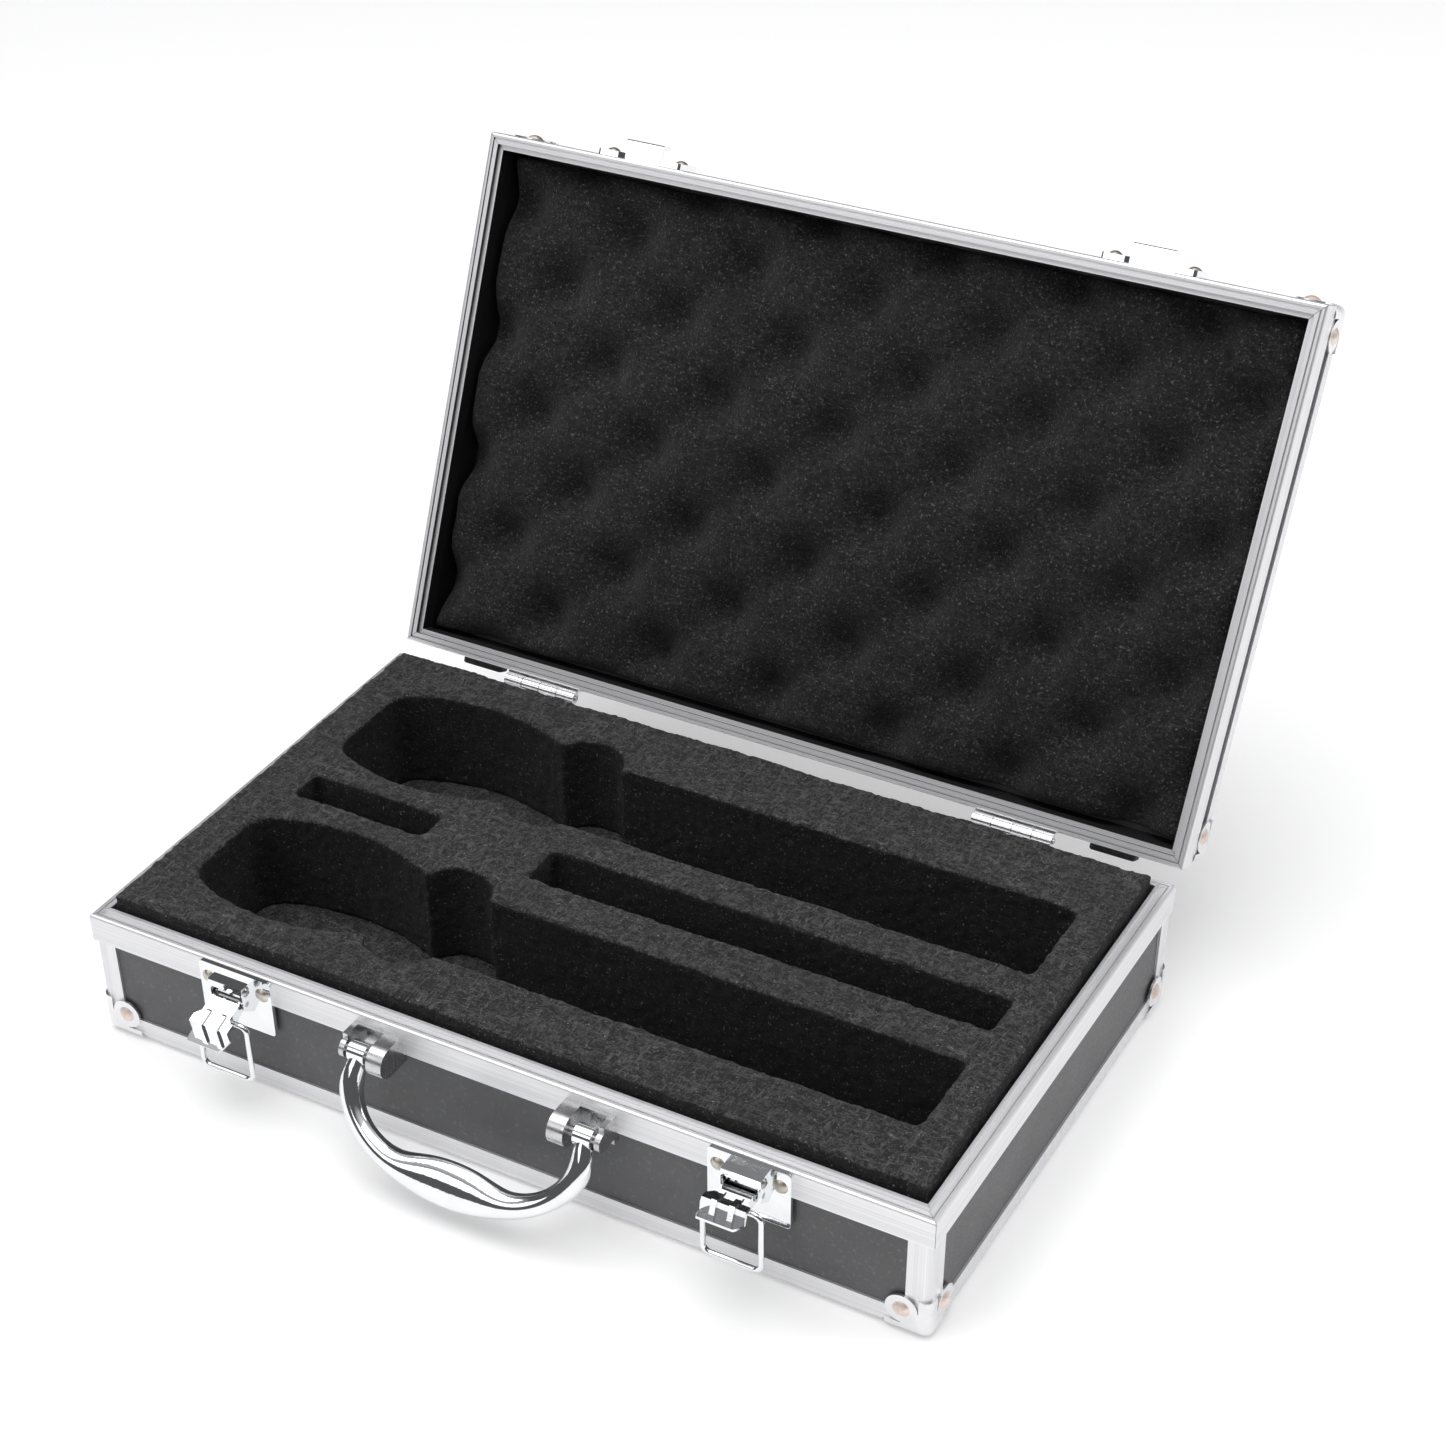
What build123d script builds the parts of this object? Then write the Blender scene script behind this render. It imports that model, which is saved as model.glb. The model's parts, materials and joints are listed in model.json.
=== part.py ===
from build123d import *
import os
from math import cos, radians, sin

# Aluminium-framed carrying case for two handheld microphones, standing open.
# Millimetres. +X is right, -Y is the front with the handle, +Z is up. It is modelled
# about the middle of its base, and moved at the end so that the origin is under the
# middle of the whole open case, on the surface that it stands on.

# ---- case ----
CASE_W = 300.0            # outside width, over the rim extrusions
CASE_D = 180.0            # outside depth, over the rim extrusions
BASE_H = 47.0             # underside to rim plane of the base
LID_H = 25.0              # top to rim plane of the lid
CLOSING_GAP = 0.4         # between the two rim planes when shut
OPEN_ANGLE = 114.5        # lid angle from shut, on its hinge stop
ORIGIN_Y = 36.3           # from the middle of the base to the origin

# ---- walls and extrusions, measured inward from the outer face of the rim ----
RIM_H = 10.0              # height of the rim's outer face
RIM_SKIN = 1.2            # rim skin in front of the panel
PANEL_T = 3.0             # laminated board panel
RIM_LINER = 1.0           # rim skin behind the panel
RIM_WEB = 3.0             # solid flange above the panel's edge
TONGUE_H = 1.4            # raised tongue on the base rim
MITRE_SET = 0.1           # each mitred end is cut short by this, which leaves a fine joint line
ANGLE_SET = 0.4           # corner and edge angles sit this far behind the rim face
ANGLE_T = 0.8             # their thickness
ANGLE_LEG = 8.5           # their leg
PROTECTOR_T = 0.8         # pressed steel corner
PROTECTOR_R = 3.4         # its outer edge radius
PROTECTOR_LEG = 14.8      # how far it reaches along each edge
RIVET_INSET = 9.6         # corner rivet, from both outer faces of the protector
FIT_GAP = 0.05            # assembly gap between board edges

# ---- foam ----
FOAM_W, FOAM_D = 287.0, 167.0
FOAM_ABOVE_RIM = 6.0
FOAM_PAD_T = 12.0
LID_FOAM_T = 12.5
HEAD_CORNER_R = 9.0          # at the crown of the microphone's ball

# ---- hardware positions ----
LATCH_X = 91.5            # latches, catches and hinges share this station
FOOT_X = 123.0

# ---- hinge ----
HINGE_W = 28.8
HINGE_BACK = 3.0          # axis behind the rim face
HINGE_UP = 0.2            # axis above the base rim plane, half the closing gap
KNUCKLE_R = 2.2
HINGE_PIN_R = 0.95
HINGE_BORE_R = 1.02
LEAF_T = 1.0
LEAF_H = 9.0
KNUCKLES = 4
KNUCKLE_GAP = 0.3

# ---- latch, in a side view: out = ahead of the rim face, height = above the table ----
LATCH_W, LATCH_PLATE_T = 27.4, 1.4
LATCH_PLATE_Z = (25.5, 46.6)
HOUSING_HALF, HOUSING_WALL = 6.5, 0.8
PIVOT_OUT, PIVOT_Z = 4.6, 38.4
STOP_OUT, STOP_Z = 4.4, 43.0
LEVER_PIN_R, LEVER_BORE_R = 1.0, 1.07
LEVER_HALF, LEVER_WALL = 5.3, 0.9
BAIL_S, BAIL_T = 7.0, -1.6        # bail pivot along and across the lever
BAIL_R, BAIL_BORE_R = 0.9, 0.97
BAIL_HALF_W, BAIL_L = 9.6, 21.6
LEVER_OPEN = {"left": 63.0, "right": 93.0}

CATCH_T = 2.0

# ---- handle ----
HANDLE_OUT, HANDLE_Z = 7.0, 38.6
HANDLE_TILT = 30.0        # it stands out from plumb by this, held by the friction of its eyes
HANDLE_PIN_R, HANDLE_BORE_R = 1.5, 1.58
HANDLE_EYE_R = 3.5
HANDLE_HALF_T = 4.3       # half the thickness of the grip, square to its plane
HANDLE_STATIONS = [       # centre line from the middle of the grip to the eye: x, drop, half width
    (0, 29.5, 7.5), (9.5, 29.5, 6.7), (19.5, 29.0, 4.6), (28.0, 26.2, 3.7), (35.5, 20.6, 3.5),
    (40.0, 13.6, 3.8), (41.0, 7.4, 3.8), (40.4, 3.2, 3.3), (40.2, 0.8, 3.0)]
BRACKET_NOSE_R = 5.3
EAR_NOSE_R = 3.2

HALF_W, HALF_D = CASE_W / 2, CASE_D / 2
RIM_W = RIM_SKIN + PANEL_T + RIM_LINER
SHUT_RIM_Z = BASE_H + CLOSING_GAP
LID_TOP_Z = SHUT_RIM_Z + LID_H
HINGE_Y, HINGE_Z = HALF_D + HINGE_BACK, BASE_H + HINGE_UP
LID_AXIS = Axis((0, HINGE_Y, HINGE_Z), (-1, 0, 0))

parts = {}


def block(x0, x1, y0, y1, z0, z1):
    """Box between two corners."""
    return Pos((x0 + x1) / 2, (y0 + y1) / 2, (z0 + z1) / 2) * Box(x1 - x0, y1 - y0, z1 - z0)


def side_prism(points, x0, x1):
    """Outline in the YZ plane, carried from x0 to x1."""
    outline = make_face(Polyline(*[(x0, y, z) for y, z in points], close=True))
    return extrude(outline, amount=x1 - x0, dir=(1, 0, 0))


def plan_prism(points, z0, z1):
    """Outline in the XY plane, carried from z0 to z1."""
    outline = make_face(Polyline(*[(x, y, z0) for x, y in points], close=True))
    return extrude(outline, amount=z1 - z0, dir=(0, 0, 1))


def rod(start, end, radius):
    """Round bar between two points."""
    a, b = Vector(*start), Vector(*end)
    return Plane(origin=a, z_dir=b - a).location * Cylinder(
        radius, (b - a).length, align=(Align.CENTER, Align.CENTER, Align.MIN))


def rivet(at, normal, head_r, head_h, shank_r, shank_l):
    """Domed head standing on a face at a point, with its shank going in behind."""
    ball_r = (head_r ** 2 + head_h ** 2) / (2 * head_h)
    dome = Pos(0, 0, head_h - ball_r) * Sphere(ball_r)
    head = dome & (Pos(0, 0, head_h / 2) * Cylinder(head_r + 1, head_h))
    shank = Pos(0, 0, (0.1 - shank_l) / 2) * Cylinder(shank_r, shank_l + 0.1)
    return Plane(origin=at, z_dir=normal).location * (head + shank)


def group(solids):
    """Separate solids that share one node."""
    return Compound(children=[s for item in solids for s in item.solids()])


# ---------------------------------------------------------------- shells
# A wall runs along its own X with its outer face at y = 0 and the inside at +y.
WALLS = {
    "front": (CASE_W, Pos(0, -HALF_D, 0)),
    "back": (CASE_W, Pos(0, HALF_D, 0) * Rot(0, 0, 180)),
    "left": (CASE_D, Pos(-HALF_W, 0, 0) * Rot(0, 0, -90)),
    "right": (CASE_D, Pos(HALF_W, 0, 0) * Rot(0, 0, 90)),
}


def mitre(length, depth, z0, z1, short=0.0):
    """The plan area that one wall owns, with 45-degree ends."""
    half = length / 2 - short
    return plan_prism([(-half, 0), (half, 0), (half - depth, depth), (-half + depth, depth)], z0, z1)


def rim(length, height, tongue):
    """Channel extrusion that caps a wall; the base has a tongue, the lid a rebate for it."""
    low, slot = height - RIM_H, height - RIM_WEB
    edge, line, land, drop = 0.8, (1.6, 2.1), 3.9, 0.7
    if tongue:
        lip = [(land, height), (land, height + TONGUE_H), (RIM_W - 0.2, height + TONGUE_H),
               (RIM_W, height + TONGUE_H - 0.2)]
    else:
        lip = [(land - 0.3, height), (land - 0.3, height - TONGUE_H - 0.1), (RIM_W, height - TONGUE_H - 0.1)]
    outline = [(0, low), (0, height - edge), (edge * 0.3, height - edge * 0.3), (edge, height),
               (line[0], height), (line[0], height - drop), (line[1], height - drop), (line[1], height),
               *lip, (RIM_W, low + 2), (RIM_SKIN + PANEL_T, low + 2), (RIM_SKIN + PANEL_T, slot),
               (RIM_SKIN, slot), (RIM_SKIN, low)]
    bar = side_prism(outline, -length / 2, length / 2)
    return bar & mitre(length, RIM_W, low, height + TONGUE_H, MITRE_SET)


def edge_angle(length):
    """Rounded angle along an outside edge."""
    a, b = ANGLE_SET, ANGLE_SET + ANGLE_T
    low, top = PROTECTOR_T, PROTECTOR_T + ANGLE_T
    outer_r = 2.0
    profile = (block(-length / 2, length / 2, a, ANGLE_LEG, low, ANGLE_LEG)
               - block(-length / 2, length / 2, b, ANGLE_LEG, top, ANGLE_LEG))
    outer = profile.edges().filter_by(Axis.X).sort_by(lambda e: e.center().Y + e.center().Z)[0]
    return fillet(outer, outer_r) & mitre(length, ANGLE_LEG, 0, ANGLE_LEG)


def corner_angle(height):
    """Upright angle at the corner at x = -HALF_W, y = -HALF_D."""
    x, y, outer_r = -HALF_W + ANGLE_SET, -HALF_D + ANGLE_SET, 2.4
    leg = ANGLE_LEG - ANGLE_SET
    post = (block(x, x + leg, y, y + leg, ANGLE_LEG, height - RIM_H)
            - block(x + ANGLE_T, x + leg, y + ANGLE_T, y + leg, ANGLE_LEG, height - RIM_H))
    outer = post.edges().filter_by(Axis.Z).sort_by(lambda e: e.center().X + e.center().Y)[0]
    return fillet(outer, outer_r)


def protector_blank(thick, size):
    """Corner block with rounded edges, inset by a thickness."""
    blank = block(thick, size, thick, size, thick, size)
    near = [e for e in blank.edges() if e.center().length < size * 0.62]
    return fillet(near, PROTECTOR_R - thick)


def protector():
    """Pressed corner over three faces with a lobe round each rivet, and the space outside its inner face."""
    size, lobe_r, band = PROTECTOR_LEG + 1, 5.2, 4.2
    inner = protector_blank(PROTECTOR_T, size)
    lobe = (block(0, PROTECTOR_LEG, 0, band, 0, band) + block(0, band, 0, PROTECTOR_LEG, 0, band)
            + block(0, RIVET_INSET, 0, RIVET_INSET, 0, band)
            + Pos(RIVET_INSET, RIVET_INSET, band / 2) * Cylinder(lobe_r, band))
    wall_x = Pos(band, 0, 0) * Location((0, 0, 0), (0, -90, 0)) * lobe
    wall_y = Pos(0, band, 0) * Location((0, 0, 0), (90, 0, 0)) * lobe
    pressed = (protector_blank(0, size) - inner) & (lobe + wall_x + wall_y)
    outside = block(-1, size, -1, size, -1, size) - inner
    place = Pos(-HALF_W + ANGLE_SET - PROTECTOR_T, -HALF_D + ANGLE_SET - PROTECTOR_T, 0)
    return place * pressed, place * outside


def shell(height, tongue):
    """Every piece of one half of the case, standing on its outside with the rim up."""
    made = {}
    panel_low, panel_top = PROTECTOR_T + ANGLE_T, height - RIM_WEB - FIT_GAP
    board = RIM_SKIN, RIM_SKIN + PANEL_T
    for name, (length, place) in WALLS.items():
        made["rim_" + name] = place * rim(length, height, tongue)
        end = RIM_SKIN if length == CASE_D else board[1]
        half = length / 2 - end - FIT_GAP
        made[name + "_panel"] = place * block(-half, half, board[0], board[1], panel_low, panel_top)
    inner_w, inner_d = HALF_W - board[1] - FIT_GAP, HALF_D - board[1] - FIT_GAP
    made["floor_panel"] = block(-inner_w, inner_w, -inner_d, inner_d, panel_low, panel_low + PANEL_T)
    made["edge_angles"] = group([place * edge_angle(length) for length, place in WALLS.values()])

    shank_l = 4.0
    post = corner_angle(height)
    cap, outside = protector()
    out_x, out_y = -HALF_W + ANGLE_SET - PROTECTOR_T, -HALF_D + ANGLE_SET - PROTECTOR_T
    head_r, head_h, shank_r, hole_l = 2.8, 1.2, 1.2, 6.0
    front_x, side_y, z = out_x + RIVET_INSET, out_y + RIVET_INSET, RIVET_INSET
    rivets = (rivet((front_x, out_y, z), (0, -1, 0), head_r, head_h, shank_r, shank_l)
              + rivet((out_x, side_y, z), (-1, 0, 0), head_r, head_h, shank_r, shank_l))
    holes = (rod((front_x, out_y, z), (front_x, out_y + hole_l, z), shank_r)
             + rod((out_x, side_y, z), (out_x + hole_l, side_y, z), shank_r))
    cap -= holes
    posts, rivet_set, hole_set = [], [], []
    for across in ("left", "right"):
        for along in ("front", "back"):
            corner = []
            for solid in (post, cap, rivets, holes + outside):
                if across == "right":
                    solid = mirror(solid, about=Plane.YZ)
                if along == "back":
                    solid = mirror(solid, about=Plane.XZ)
                corner.append(solid)
            posts.append(corner[0])
            made[f"corner_{along}_{across}"] = corner[1]
            rivet_set.append(corner[2])
            hole_set.append(corner[3])
    made["corner_angles"] = group(posts)
    made["corner_rivets"] = group(rivet_set)
    drills = hole_set[0] + hole_set[1] + hole_set[2] + hole_set[3]
    for name in ("front_panel", "back_panel", "left_panel", "right_panel", "edge_angles", "corner_angles"):
        made[name] = group([solid - drills for solid in made[name].solids()])
    return made


def open_lid(solid):
    """Carry a solid from the shut position to the open one."""
    return solid.rotate(LID_AXIS, OPEN_ANGLE)


for name, solid in shell(BASE_H, True).items():
    parts["base_" + name] = solid
lid_shut = {}
for name, solid in shell(LID_H, False).items():
    lid_shut["lid_" + name.replace("floor", "top")] = Pos(0, 0, LID_TOP_Z) * mirror(solid, about=Plane.XY)


# ---------------------------------------------------------------- foam
def round_pocket(x0, x1, y0, y1, z0, z1, radius):
    """Pocket with rounded upright corners."""
    pocket = block(x0, x1, y0, y1, z0, z1)
    return fillet(pocket.edges().filter_by(Axis.Z), radius)


def microphone_pocket(y_head, half_head, y_slot, half_slot, z0, z1):
    """Pocket for one microphone: a barrel-shaped head bay, a finger notch at the neck, a handle slot."""
    x0, x_belly, x1, end = -129.0, -99.0, -61.0, half_head - 8.0
    back, front = y_head + end, y_head - end
    outline = [ThreePointArc((x1, back, z0), (x_belly, y_head + half_head, z0), (x0, back, z0)),
               Line((x0, back, z0), (x0, front, z0)),
               ThreePointArc((x0, front, z0), (x_belly, y_head - half_head, z0), (x1, front, z0)),
               Line((x1, front, z0), (x1, back, z0))]
    head = extrude(make_face(outline), amount=z1 - z0, dir=(0, 0, 1))
    head = fillet(head.edges().filter_by(Axis.Z).group_by(Axis.X)[0], HEAD_CORNER_R)
    neck = round_pocket(-62.0, -36.0, y_head - 26.0, y_head + 26.0, z0, z1, 11.9)
    slot = round_pocket(-50.0, 131.0, y_slot - half_slot, y_slot + half_slot, z0, z1, 3.0)
    return head + neck + slot


foam_low = PROTECTOR_T + ANGLE_T + PANEL_T
foam_top = BASE_H + FOAM_ABOVE_RIM
pad_top = foam_low + FOAM_PAD_T
half_fw, half_fd = FOAM_W / 2, FOAM_D / 2
parts["base_foam_pad"] = block(-half_fw, half_fw, -half_fd, half_fd, foam_low + 0.1, pad_top)
foam = block(-half_fw, half_fw, -half_fd, half_fd, pad_top, foam_top)
pockets = (microphone_pocket(39.5, 26.6, 37.0, 18.0, pad_top, foam_top)
           + microphone_pocket(-43.8, 25.4, -44.8, 16.2, pad_top, foam_top)
           + round_pocket(-126.0, -74.5, -9.0, 3.5, pad_top, foam_top, 1.5)
           + round_pocket(-32.0, 131.0, -12.0, 4.5, pad_top, foam_top, 1.5))
parts["base_foam_insert"] = foam - pockets
lid_foam_top = LID_TOP_Z - foam_low - 0.1
lid_foam_low = lid_foam_top - LID_FOAM_T
lid_shut["lid_foam_pad"] = block(-half_fw, half_fw, -half_fd, half_fd, lid_foam_low, lid_foam_top)


# ---------------------------------------------------------------- hinges
def hinge_rod(x0, x1, radius):
    """Round bar on the hinge axis."""
    return rod((x0, HINGE_Y, HINGE_Z), (x1, HINGE_Y, HINGE_Z), radius)


def hinge_leaf(x_mid, for_lid):
    """Leaf on the back rim with every second knuckle round the pin."""
    step = HINGE_W / KNUCKLES
    up = 1 if for_lid else -1
    x0, x1 = x_mid - HINGE_W / 2, x_mid + HINGE_W / 2
    face = HALF_D
    z_near, z_far = HINGE_Z + up * 0.3, HINGE_Z + up * LEAF_H
    leaf = block(x0, x1, face, face + LEAF_T, min(z_near, z_far), max(z_near, z_far))
    leaf = fillet(leaf.edges().filter_by(Axis.Y).group_by(Axis.Z)[-1 if for_lid else 0], 1.5)
    clear = KNUCKLE_R + 0.3
    for i in range(KNUCKLES):
        a, b = x0 + i * step, x0 + (i + 1) * step
        mine = (i % 2 == 1) if for_lid else (i % 2 == 0)
        if mine:
            leaf += hinge_rod(a + KNUCKLE_GAP / 2, b - KNUCKLE_GAP / 2, KNUCKLE_R)
        else:
            leaf -= hinge_rod(a - KNUCKLE_GAP / 2, b + KNUCKLE_GAP / 2, clear)
    return leaf - hinge_rod(x0 - 1, x1 + 1, HINGE_BORE_R)


def leaf_rivets(x_mid, for_lid):
    up = 1 if for_lid else -1
    z = HINGE_Z + up * 6.0
    return [rivet((x_mid + dx, HALF_D + LEAF_T, z), (0, 1, 0), 1.9, 0.9, 0.9, 4.0) for dx in (-9.0, 9.0)]


def drill_for(node_set, names, rivet_spots, direction, depth, radius):
    """Bore the rivet shanks' holes in the pieces that they go through."""
    for x, y, z in rivet_spots:
        end = (x, y + direction * depth, z)
        bore = rod((x, y, z), end, radius)
        for name in names:
            node_set[name] -= bore


hinge_pins, base_leaf_rivets, lid_leaf_rivets = [], [], []
for side, x_mid in (("left", -LATCH_X), ("right", LATCH_X)):
    parts[f"hinge_leaf_base_{side}"] = hinge_leaf(x_mid, False)
    lid_shut[f"hinge_leaf_lid_{side}"] = hinge_leaf(x_mid, True)
    pin_half = HINGE_W / 2 + 0.4
    hinge_pins.append(hinge_rod(x_mid - pin_half, x_mid + pin_half, HINGE_PIN_R))
    base_leaf_rivets += leaf_rivets(x_mid, False)
    lid_leaf_rivets += leaf_rivets(x_mid, True)
    for node_set, up, prefix in ((parts, -1, "base"), (lid_shut, 1, "lid")):
        spots = [(x_mid + dx, HALF_D + LEAF_T + 1, HINGE_Z + up * 6.0) for dx in (-9.0, 9.0)]
        names = [f"hinge_leaf_{prefix}_{side}", f"{prefix}_rim_back", f"{prefix}_back_panel"]
        drill_for(node_set, names, spots, -1, 5.0, 0.9)
parts["hinge_pins"] = group(hinge_pins)
parts["hinge_rivets_base"] = group(base_leaf_rivets)
lid_shut["hinge_rivets_lid"] = group(lid_leaf_rivets)


# ---------------------------------------------------------------- feet on the hinge side
def foot(x_mid, z_mid):
    """Rubber foot on the back wall, so that the shut case also stands handle up."""
    face, reach, half_h = HALF_D - RIM_SKIN, 5.6, 3.0
    pad = block(x_mid - 8.2, x_mid + 8.2, face, face + reach, z_mid - half_h, z_mid + half_h)
    pad = fillet(pad.edges().filter_by(Axis.Y), 1.6)
    return fillet(pad.faces().sort_by(Axis.Y)[-1].edges(), 0.8)


parts["base_feet"] = group([foot(x, 20.0) for x in (-FOOT_X, FOOT_X)])
lid_shut["lid_feet"] = group([foot(x, SHUT_RIM_Z + 13.3) for x in (-FOOT_X, FOOT_X)])


# ---------------------------------------------------------------- latches
def out(distance):
    """Y of a point that far ahead of the front rim face."""
    return -HALF_D - distance


def latch_plate(x_mid):
    """Riveted plate with a raised housing for the lever."""
    z0, z1 = LATCH_PLATE_Z
    plate = block(x_mid - LATCH_W / 2, x_mid + LATCH_W / 2, out(LATCH_PLATE_T), out(0), z0, z1)
    plate = fillet(plate.edges().filter_by(Axis.Y), 1.2)
    front, top = out(6.6), STOP_Z + 2.2
    wall = out(LATCH_PLATE_T)
    cheek = [(wall, top), (front, top), (front, 41.2), (out(6.3), 36.6), (wall, 33.4)]
    for s in (-1, 1):
        x_in, x_out = sorted((x_mid + s * (HOUSING_HALF - HOUSING_WALL), x_mid + s * HOUSING_HALF))
        plate += side_prism(cheek, x_in, x_out)
    x0, x1 = x_mid - HOUSING_HALF, x_mid + HOUSING_HALF
    plate += block(x0, x1, front, out(LATCH_PLATE_T), top - 1.0, top)
    plate += block(x0, x1, front, out(5.8), top - 2.4, top)
    for at_out, at_z, radius in ((PIVOT_OUT, PIVOT_Z, LEVER_PIN_R), (STOP_OUT, STOP_Z, LEVER_PIN_R)):
        plate -= rod((x0 - 1, out(at_out), at_z), (x1 + 1, out(at_out), at_z), radius)
    return plate


def lever(x_mid, angle):
    """Stamped lever, shut against the plate and then swung out by an angle."""
    def spot(s, t):
        return (out(PIVOT_OUT + t), PIVOT_Z - s)

    thick, wide = 1.0, 7.25
    run = [(1.2, 1.75), (12.2, 3.1), (13.4, -1.0), (17.8, 0.3)]
    back = [(s - 0.1, t - thick) for s, t in run[::-1]]
    back[1] = (run[2][0] - thick, run[2][1] - thick + 0.1)
    back[2] = (run[1][0] - thick, run[1][1] - thick)
    strip = side_prism([spot(s, t) for s, t in run + back], -wide, wide)
    plan = [(-5.3, PIVOT_Z - 0.5), (5.3, PIVOT_Z - 0.5), (5.3, PIVOT_Z - 7.5), (7.25, PIVOT_Z - 9.5),
            (7.25, PIVOT_Z - 13.0), (6.6, PIVOT_Z - 16.5), (5.6, PIVOT_Z - 18.5), (-5.6, PIVOT_Z - 18.5),
            (-6.6, PIVOT_Z - 16.5), (-7.25, PIVOT_Z - 13.0), (-7.25, PIVOT_Z - 9.5), (-5.3, PIVOT_Z - 7.5)]
    outline = make_face(Polyline(*[(x, out(12), z) for x, z in plan], close=True))
    mask = extrude(outline, amount=14, dir=(0, 1, 0))
    body = strip & mask
    flange = [(-1.6, 1.6), (1.2, 1.75), (11.2, 2.9), (11.0, 1.2), (9.4, -1.6), (8.2, -3.0), (6.4, -3.1),
              (4.6, -1.9), (1.5, -1.9), (-1.2, -2.0), (-2.2, -0.6)]
    for s in (-1, 1):
        x_in, x_out = sorted((s * (LEVER_HALF - LEVER_WALL), s * LEVER_HALF))
        body += side_prism([spot(a, b) for a, b in flange], x_in, x_out)
    for x in (-2.9, 2.9):
        ridge = [(6.2, 2.2), (7.2, 3.1), (12.4, 3.75), (13.0, 2.8), (14.2, -1.0), (13.0, -1.0), (11.6, 2.6)]
        body += side_prism([spot(a, b) for a, b in ridge], x - 0.9, x + 0.9)
    y_pivot, z_pivot = spot(0, 0)
    y_bail, z_bail = spot(BAIL_S, BAIL_T)
    body -= rod((-9, y_pivot, z_pivot), (9, y_pivot, z_pivot), LEVER_BORE_R)
    body -= rod((-9, y_bail, z_bail), (9, y_bail, z_bail), BAIL_BORE_R)
    return Pos(x_mid, 0, 0) * body.rotate(Axis((0, y_pivot, z_pivot), (-1, 0, 0)), angle)


def bail_pivot(angle):
    """Out and height of the bail's pivot with its lever swung out by an angle."""
    a = radians(angle)
    return (PIVOT_OUT + BAIL_S * sin(a) + BAIL_T * cos(a), PIVOT_Z - BAIL_S * cos(a) + BAIL_T * sin(a))


def bail(x_mid, angle):
    """Wire loop hanging plumb from the lever, its two ends turned in through the flanges."""
    away, high = bail_pivot(angle)
    y, low, w = out(away), high - BAIL_L, BAIL_HALF_W
    end = LEVER_HALF - LEVER_WALL - 0.5
    corners = [(-end, y, high), (-w, y, high), (-w, y, low), (w, y, low), (w, y, high), (end, y, high)]
    route = FilletPolyline(*corners, radius=2.6)
    return Pos(x_mid, 0, 0) * sweep(Plane(origin=route @ 0, z_dir=route % 0) * Circle(BAIL_R), path=route)


latch_pins, latch_rivets = [], []
for side, x_mid in (("left", -LATCH_X), ("right", LATCH_X)):
    parts[f"latch_plate_{side}"] = latch_plate(x_mid)
    parts[f"latch_lever_{side}"] = lever(x_mid, LEVER_OPEN[side])
    parts[f"latch_bail_{side}"] = bail(x_mid, LEVER_OPEN[side])
    ends = (x_mid - HOUSING_HALF, x_mid + HOUSING_HALF)
    latch_pins.append(rod((ends[0], out(PIVOT_OUT), PIVOT_Z), (ends[1], out(PIVOT_OUT), PIVOT_Z), LEVER_PIN_R))
    stop = rod((ends[0], out(STOP_OUT), STOP_Z), (ends[1], out(STOP_OUT), STOP_Z), LEVER_PIN_R)
    for x, way in ((ends[0], -1), (ends[1], 1)):
        stop += rivet((x, out(STOP_OUT), STOP_Z), (way, 0, 0), 1.7, 0.9, LEVER_PIN_R, 1.0)
    latch_pins.append(stop)
    spots = [(x_mid + dx, out(LATCH_PLATE_T), 41.0) for dx in (-10.2, 10.2)]
    latch_rivets += [rivet(spot, (0, -1, 0), 2.5, 1.2, 1.2, 5.2) for spot in spots]
    drill_for(parts, [f"latch_plate_{side}", "base_rim_front", "base_front_panel"], spots, 1, 5.2, 1.2)
parts["latch_pins"] = group(latch_pins)
parts["latch_rivets"] = group(latch_rivets)


# ---------------------------------------------------------------- catches on the lid
def catch(x_mid):
    """Plate on the lid's front rim with a hook that the bail drops behind."""
    z0 = SHUT_RIM_Z + 0.4
    plate = block(x_mid - 16, x_mid + 16, out(CATCH_T), out(0), z0, z0 + 13)
    plate = fillet(plate.edges().filter_by(Axis.Y), 1.2)
    plate -= block(x_mid - 8.0, x_mid + 8.0, out(3), out(-1), z0 - 1, z0 + 2.6)
    plate -= block(x_mid - 11, x_mid + 11, out(3), out(1.4), z0 + 3.8, z0 + 14)
    hook = block(x_mid - 7.2, x_mid + 7.2, out(6.6), out(1.0), z0 + 2.6, z0 + 4.0)
    hook += block(x_mid - 7.2, x_mid + 7.2, out(6.6), out(5.2), z0 + 2.6, z0 + 8.0)
    corner = hook.edges().filter_by(Axis.X).sort_by(lambda e: e.center().Y + e.center().Z)[0]
    return plate + fillet(corner, 1.2)


catch_rivets = []
for side, x_mid in (("left", -LATCH_X), ("right", LATCH_X)):
    lid_shut[f"catch_{side}"] = catch(x_mid)
    spots = [(x_mid + dx, out(CATCH_T), SHUT_RIM_Z + 7.0) for dx in (-13.2, 13.2)]
    catch_rivets += [rivet(spot, (0, -1, 0), 2.2, 1.0, 1.1, 5.4) for spot in spots]
    drill_for(lid_shut, [f"catch_{side}", "lid_rim_front", "lid_front_panel"], spots, 1, 5.4, 1.1)
lid_shut["catch_rivets"] = group(catch_rivets)


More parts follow.
